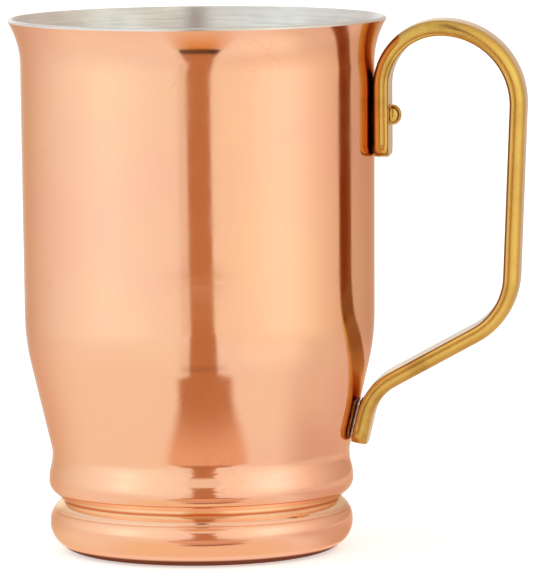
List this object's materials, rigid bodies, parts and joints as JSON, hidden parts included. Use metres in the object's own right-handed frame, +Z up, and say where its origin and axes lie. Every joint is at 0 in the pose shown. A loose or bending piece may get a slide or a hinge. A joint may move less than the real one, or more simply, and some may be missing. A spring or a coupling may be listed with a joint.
{
  "type": "drinking mug",
  "caption": "Tall copper drinking mug with flared lip, tapered waist, rolled foot bead, tinned inside and a bent brass strap handle.",
  "frame": {"origin": "on the mug's axis, in the plane that the mug stands on", "axes": "+Z up along the mug's axis, +X towards the handle"},
  "size_m": [0.1161, 0.085, 0.12],
  "materials": {
    "copper": "polished copper, clear and bright",
    "tin": "tin plating with fine level brush lines",
    "brass": "satin brass brushed along the bar",
    "solder": "dull grey hard solder"
  },
  "bodies": {
    "root": {"copper_body": "copper", "tin_lining": "tin", "brass_handle": "brass", "handle_rivet": "brass", "solder_pad": "solder"}
  },
  "joints": []
}
